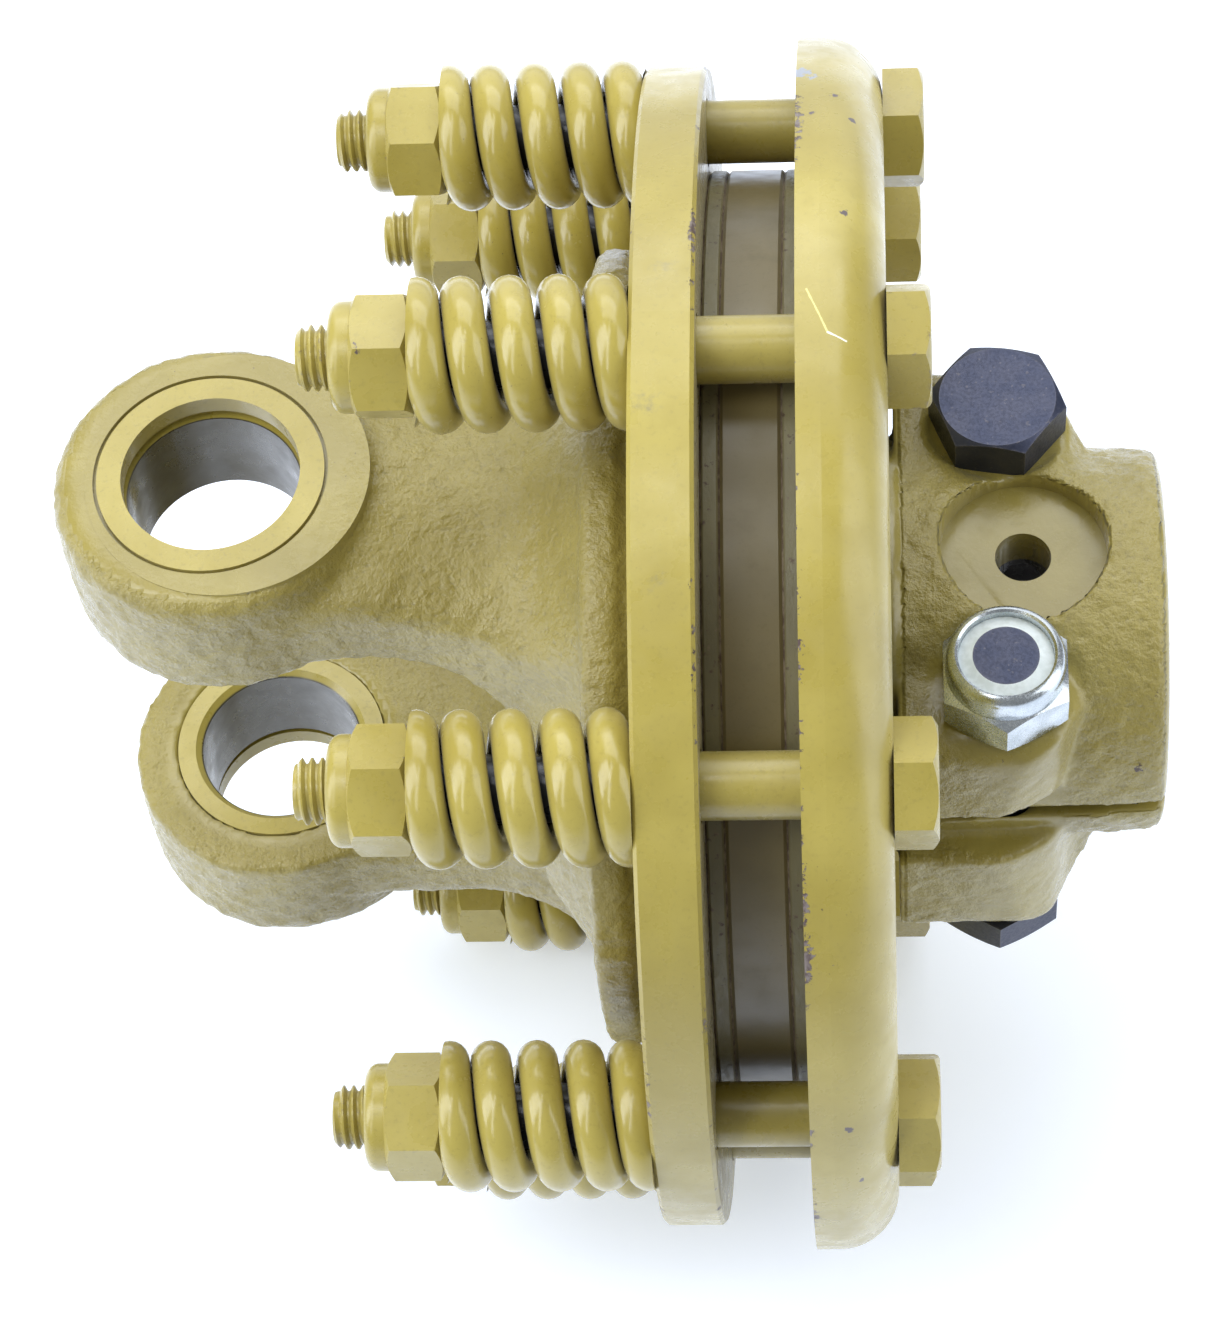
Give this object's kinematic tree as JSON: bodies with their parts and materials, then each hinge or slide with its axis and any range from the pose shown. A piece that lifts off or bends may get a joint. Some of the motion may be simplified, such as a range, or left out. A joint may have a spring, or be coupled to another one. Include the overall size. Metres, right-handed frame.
{
  "type": "friction slip clutch with flange yoke",
  "caption": "Spring-loaded friction slip clutch for a driveline: a two-eared flange yoke at one end and a splined split clamp hub at the other.",
  "frame": {"origin": "on the clutch's main axis, in the plane of the clamp hub's mouth", "axes": "+X along the main axis, out of the clamp hub's mouth; +Z along the bores of the yoke's ears, square to the main axis; +Y completes a right-handed frame"},
  "size_m": [0.1715, 0.195, 0.195],
  "materials": {
    "casting_paint": "ochre gloss enamel over a rough forged skin",
    "plate_paint": "ochre semi-gloss enamel on machined steel, chipped at the edges",
    "sheet_paint": "ochre gloss enamel on pressed sheet, chipped and rusted at the sheared lip",
    "spring_paint": "ochre gloss enamel on spring steel",
    "hardware_paint": "ochre enamel over hexagon bolts and nuts",
    "stack_paint": "thin dull ochre overspray on steel",
    "bush_paint": "ochre enamel on the face, bare grey steel in the bore",
    "friction_lining": "pressed friction material, edge oversprayed",
    "bearing_bronze": "plain bearing bronze",
    "black_oxide": "black oxide, slightly oily",
    "zinc_plate": "bright zinc plating"
  },
  "bodies": {
    "hub_group": {"clamp_hub": "casting_paint", "drive_plate": "stack_paint", "friction_lining_yoke_side": "friction_lining", "friction_lining_cup_side": "friction_lining", "clamp_bolt_upper": "black_oxide", "clamp_bolt_lower": "black_oxide", "clamp_nut_upper": "zinc_plate", "clamp_nut_lower": "zinc_plate"},
    "yoke_group": {"flange_yoke": "casting_paint", "yoke_plate": "plate_paint", "hub_bearing_bush": "bearing_bronze", "ear_bush_near": "bush_paint", "ear_bush_far": "bush_paint", "coil_spring_1": "spring_paint", "coil_spring_2": "spring_paint", "coil_spring_3": "spring_paint", "coil_spring_4": "spring_paint", "coil_spring_5": "spring_paint", "coil_spring_6": "spring_paint", "coil_spring_7": "spring_paint", "coil_spring_8": "spring_paint"},
    "clamping_group": {"pressure_cup": "sheet_paint", "pressure_ring": "stack_paint", "spring_bolt_1": "hardware_paint", "spring_bolt_2": "hardware_paint", "spring_bolt_3": "hardware_paint", "spring_bolt_4": "hardware_paint", "spring_bolt_5": "hardware_paint", "spring_bolt_6": "hardware_paint", "spring_bolt_7": "hardware_paint", "spring_bolt_8": "hardware_paint", "spring_nut_1": "hardware_paint", "spring_nut_2": "hardware_paint", "spring_nut_3": "hardware_paint", "spring_nut_4": "hardware_paint", "spring_nut_5": "hardware_paint", "spring_nut_6": "hardware_paint", "spring_nut_7": "hardware_paint", "spring_nut_8": "hardware_paint"}
  },
  "joints": [
    {"name": "clutch_slip", "type": "hinge", "parent": "hub_group", "child": "yoke_group", "pos_m": [0, 0, 0], "axis": [1, 0, 0], "continuous": true},
    {"name": "stack_release", "type": "slide", "parent": "yoke_group", "child": "clamping_group", "axis": [1, 0, 0], "range_m": [0, 0.0007], "stiffness_N_per_m": 1200000, "springref_m": -0.005, "deforming": ["coil_spring_1", "coil_spring_2", "coil_spring_3", "coil_spring_4", "coil_spring_5", "coil_spring_6", "coil_spring_7", "coil_spring_8"]}
  ]
}
